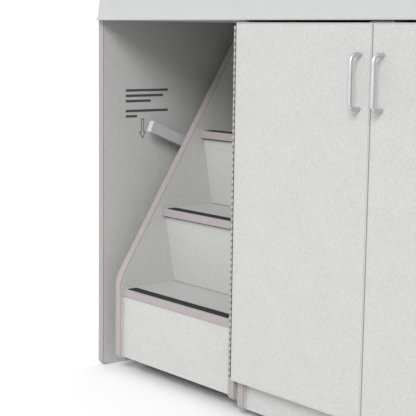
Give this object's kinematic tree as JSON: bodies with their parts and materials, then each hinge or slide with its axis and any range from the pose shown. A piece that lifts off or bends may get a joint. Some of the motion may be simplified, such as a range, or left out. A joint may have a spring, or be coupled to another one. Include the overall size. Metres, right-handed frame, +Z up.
{
  "type": "changing table cabinet with pull-out steps",
  "caption": "Childcare changing-table cabinet: moulded top with a pad well, a hinged-door cupboard, and a roll-out flight of steps held by a push-down lever.",
  "frame": {"origin": "centre of the base of the bounding box, on the floor", "axes": "+Z up, +X along the width to the cabinet's right as seen from the front, -Y out of the front, the way the steps roll out"},
  "size_m": [1.252, 0.6459, 0.914],
  "materials": {
    "laminate": "linen-pattern grey laminate on particle board, matt",
    "edge_band": "lilac-grey PVC edge band, satin",
    "door_band": "light grey PVC edge band, satin",
    "moulding": "light grey moulded plastic, semi-gloss",
    "pad_vinyl": "wipe-clean vinyl over foam",
    "grip": "black ribbed anti-slip strip",
    "steel": "brushed, zinc plated",
    "hinge_metal": "nickel-plated steel",
    "lever_paint": "grey powder coat",
    "white_plastic": "white moulded plastic",
    "rubber": "dark grey tyre rubber"
  },
  "bodies": {
    "cabinet": {"adjustable_shelf": "laminate", "back_panel": "laminate", "changing_pad": "pad_vinyl", "cupboard_floor_panel": "laminate", "door_catch": "white_plastic", "left_hinge_frame_leaf": "hinge_metal", "left_hinge_pin": "hinge_metal", "left_side_edge_band": "edge_band", "left_side_panel": "laminate", "lever_pivot_bolt": "steel", "lever_return_spring": "steel", "moulded_top": "moulding", "partition_edge_band": "edge_band", "partition_glide_front": "white_plastic", "partition_glide_rear": "white_plastic", "partition_panel": "laminate", "right_hinge_frame_leaf": "hinge_metal", "right_hinge_pin": "hinge_metal", "right_side_edge_band": "edge_band", "right_side_panel": "laminate", "toe_kick_board": "laminate", "top_deck_panel": "laminate"},
    "steps": {"left_stringer": "laminate", "right_stringer": "laminate", "left_stringer_edge_band": "edge_band", "right_stringer_edge_band": "edge_band", "rear_stretcher": "laminate", "lock_keeper": "steel", "front_axle": "steel", "rear_axle": "steel", "tread_1": "laminate", "riser_1": "laminate", "tread_1_nosing_band": "edge_band", "tread_1_grip_strip": "grip", "tread_2": "laminate", "riser_2": "laminate", "tread_2_nosing_band": "edge_band", "tread_2_grip_strip": "grip", "tread_3": "laminate", "riser_3": "laminate", "tread_3_nosing_band": "edge_band", "tread_3_grip_strip": "grip", "tread_4": "laminate", "riser_4": "laminate", "tread_4_nosing_band": "edge_band", "tread_4_grip_strip": "grip"},
    "lever": {"lever_bar": "lever_paint", "lever_end_cap": "white_plastic"},
    "left_door": {"left_door": "laminate", "left_door_edge_band": "door_band", "left_door_pull": "steel", "left_hinge_door_leaf": "hinge_metal"},
    "right_door": {"right_door": "laminate", "right_door_edge_band": "door_band", "right_door_pull": "steel", "right_hinge_door_leaf": "hinge_metal"},
    "front_left_roller": {"front_left_roller": "rubber"},
    "front_right_roller": {"front_right_roller": "rubber"},
    "rear_left_roller": {"rear_left_roller": "rubber"},
    "rear_right_roller": {"rear_right_roller": "rubber"}
  },
  "joints": [
    {"name": "steps_slide", "type": "slide", "parent": "cabinet", "child": "steps", "axis": [0, -1, 0], "range_m": [0, 0.4]},
    {"name": "lever_press", "type": "hinge", "parent": "cabinet", "child": "lever", "pos_m": [-0.5717, 0.03736, 0.48593], "axis": [1, 0, 0], "range_deg": [0, 16], "stiffness_Nm_per_rad": 6, "springref_deg": -20.05},
    {"name": "left_door_swing", "type": "hinge", "parent": "cabinet", "child": "left_door", "pos_m": [-0.1123, -0.29475, 0.44], "axis": [0, 0, -1], "range_deg": [0, 90]},
    {"name": "right_door_swing", "type": "hinge", "parent": "cabinet", "child": "right_door", "pos_m": [0.6168, -0.29475, 0.44], "axis": [0, 0, 1], "range_deg": [0, 165]},
    {"name": "front_left_roll", "type": "hinge", "parent": "steps", "child": "front_left_roller", "pos_m": [-0.5087, -0.14315, 0.0381], "axis": [1, 0, 0], "range_deg": [0, 604]},
    {"name": "front_right_roll", "type": "hinge", "parent": "steps", "child": "front_right_roller", "pos_m": [-0.157, -0.14315, 0.0381], "axis": [1, 0, 0], "range_deg": [0, 604]},
    {"name": "rear_left_roll", "type": "hinge", "parent": "steps", "child": "rear_left_roller", "pos_m": [-0.5087, 0.18185, 0.0381], "axis": [1, 0, 0], "range_deg": [0, 604]},
    {"name": "rear_right_roll", "type": "hinge", "parent": "steps", "child": "rear_right_roller", "pos_m": [-0.157, 0.18185, 0.0381], "axis": [1, 0, 0], "range_deg": [0, 604]}
  ],
  "couplings": [
    {"joint": "front_left_roll", "follows": "steps_slide", "rad_per_m": 26.247},
    {"joint": "front_right_roll", "follows": "steps_slide", "rad_per_m": 26.247},
    {"joint": "rear_left_roll", "follows": "steps_slide", "rad_per_m": 26.247},
    {"joint": "rear_right_roll", "follows": "steps_slide", "rad_per_m": 26.247}
  ]
}
